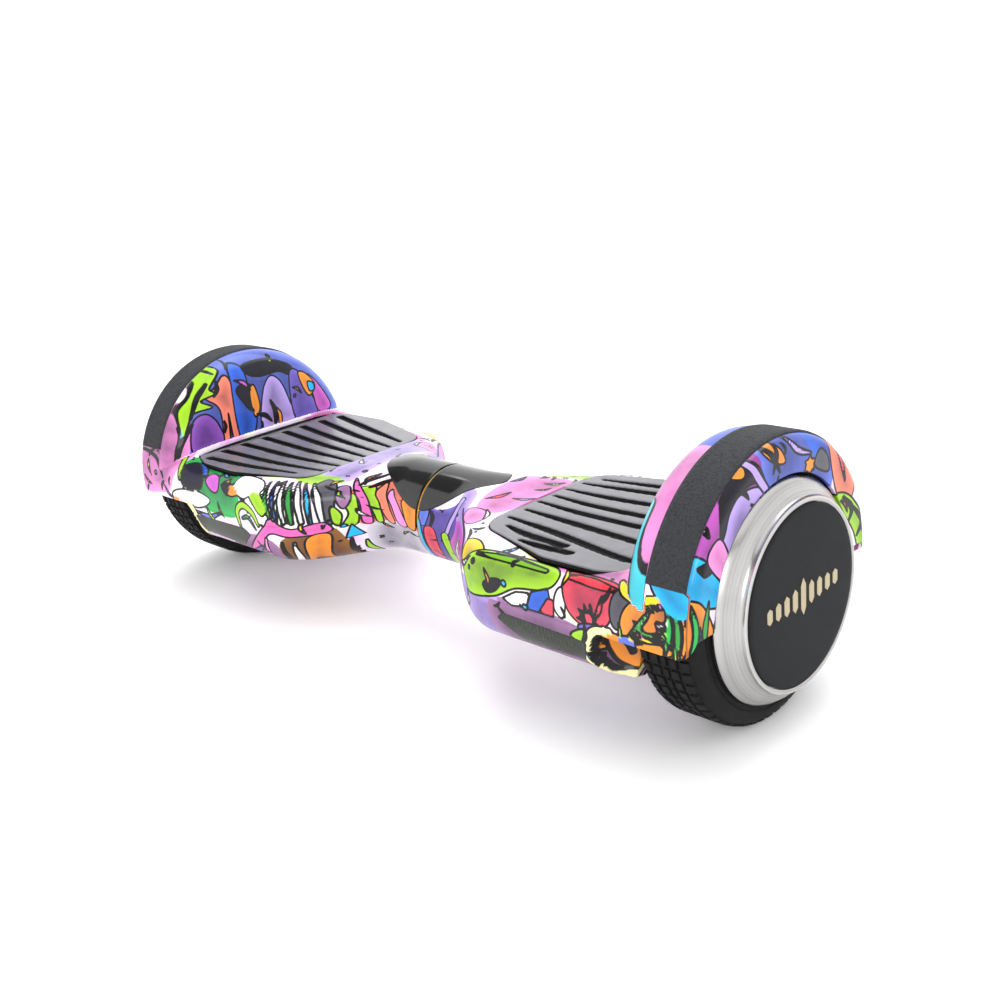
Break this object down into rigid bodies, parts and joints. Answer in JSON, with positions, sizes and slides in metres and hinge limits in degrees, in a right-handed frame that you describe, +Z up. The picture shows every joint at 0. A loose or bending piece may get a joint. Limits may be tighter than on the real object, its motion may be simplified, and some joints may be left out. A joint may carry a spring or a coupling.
{
  "type": "self balancing hoverboard",
  "caption": "Self-balancing board: printed shell halves twist about a waist tube, sprung foot pads, hub-motor wheels under arched fenders, rear charge socket and button.",
  "frame": {"origin": "on the ground below the middle of the waist, at the bottom centre of the whole board", "axes": "+X along the wheel axles towards the half with the charge socket, -Y the way the lamps face, +Z up"},
  "size_m": [0.584, 0.184, 0.1776],
  "materials": {
    "printed_shell": "glossy clear-coated ABS with an all-over printed film",
    "bumper_rubber": "matte, finely textured",
    "pad_rubber": "glossy moulded rubber with raised ridges",
    "grey_rubber": "matte",
    "smoked_lens": "satin smoked lens",
    "circuit_board": "solder mask",
    "black_gloss": "glossy black",
    "cast_aluminium": "as cast",
    "bright_aluminium": "fine turned and polished",
    "steel": "machined",
    "copper": "enamelled copper wire",
    "magnet": "nickel plated",
    "tyre": "matte solid rubber",
    "cap_black": "matte black anodised with a pale gold emblem",
    "cable_sheath": "matte sheath",
    "bronze": "sintered bronze",
    "battery_wrap": "cells in blue shrink wrap",
    "black_plastic": "matte moulded plastic"
  },
  "bodies": {
    "left_half": {"left_top_shell": "printed_shell", "left_bottom_shell": "printed_shell", "left_arch_bumper": "bumper_rubber", "left_light_lens": "smoked_lens", "left_light_board": "circuit_board", "left_status_window": "black_gloss", "left_chassis": "cast_aluminium", "left_gyro_board": "circuit_board", "left_axle_clamp": "cast_aluminium", "left_clamp_screws": "steel", "left_motor_axle": "steel", "left_stator": "steel", "left_stator_coils": "copper", "left_motor_cable": "cable_sheath", "left_shell_screws": "steel", "pivot_tube": "steel", "pivot_clip": "steel", "waist_ring": "black_gloss", "battery_pack": "battery_wrap", "battery_strap": "cable_sheath", "battery_cable": "cable_sheath", "wiring_loom": "cable_sheath"},
    "right_half": {"right_top_shell": "printed_shell", "right_bottom_shell": "printed_shell", "right_arch_bumper": "bumper_rubber", "right_light_lens": "smoked_lens", "right_light_board": "circuit_board", "right_status_window": "black_gloss", "right_chassis": "cast_aluminium", "right_gyro_board": "circuit_board", "right_axle_clamp": "cast_aluminium", "right_clamp_screws": "steel", "right_motor_axle": "steel", "right_stator": "steel", "right_stator_coils": "copper", "right_motor_cable": "cable_sheath", "right_shell_screws": "steel", "pivot_bushes": "bronze", "main_board": "circuit_board", "button_bezel": "black_plastic", "charge_socket": "black_plastic"},
    "left_wheel": {"left_motor_bearings": "steel", "left_rotor_rim": "cast_aluminium", "left_rotor_magnets": "magnet", "left_motor_cover": "bright_aluminium", "left_tyre": "tyre", "left_hub_cap": "cap_black"},
    "right_wheel": {"right_motor_bearings": "steel", "right_rotor_rim": "cast_aluminium", "right_rotor_magnets": "magnet", "right_motor_cover": "bright_aluminium", "right_tyre": "tyre", "right_hub_cap": "cap_black"},
    "left_pad": {"left_foot_pad": "pad_rubber", "left_pad_plungers": "grey_rubber"},
    "right_pad": {"right_foot_pad": "pad_rubber", "right_pad_plungers": "grey_rubber"},
    "power_button": {"power_button": "steel"},
    "charge_cap": {"charge_cap": "grey_rubber"}
  },
  "joints": [
    {"name": "waist_twist", "type": "hinge", "parent": "left_half", "child": "right_half", "pos_m": [0, 0, 0.08], "axis": [1, 0, 0], "range_deg": [-12, 12]},
    {"name": "left_wheel_spin", "type": "hinge", "parent": "left_half", "child": "left_wheel", "pos_m": [-0.255, 0, 0.084], "axis": [1, 0, 0], "continuous": true},
    {"name": "right_wheel_spin", "type": "hinge", "parent": "right_half", "child": "right_wheel", "pos_m": [0.255, 0, 0.084], "axis": [1, 0, 0], "continuous": true},
    {"name": "left_pad_press", "type": "slide", "parent": "left_half", "child": "left_pad", "axis": [0, 0, -1], "range_m": [0, 0.0015], "stiffness_N_per_m": 20000, "springref_m": -0.0002},
    {"name": "right_pad_press", "type": "slide", "parent": "right_half", "child": "right_pad", "axis": [0, 0, -1], "range_m": [0, 0.0015], "stiffness_N_per_m": 20000, "springref_m": -0.0002},
    {"name": "power_button_press", "type": "slide", "parent": "right_half", "child": "power_button", "axis": [0, -1, 0], "range_m": [0, 0.001], "stiffness_N_per_m": 1500, "springref_m": -0.0004},
    {"name": "charge_cap_hinge", "type": "hinge", "parent": "right_half", "child": "charge_cap", "pos_m": [0.13, 0.0901, 0.072], "axis": [1, 0, 0], "range_deg": [0, 110]}
  ]
}
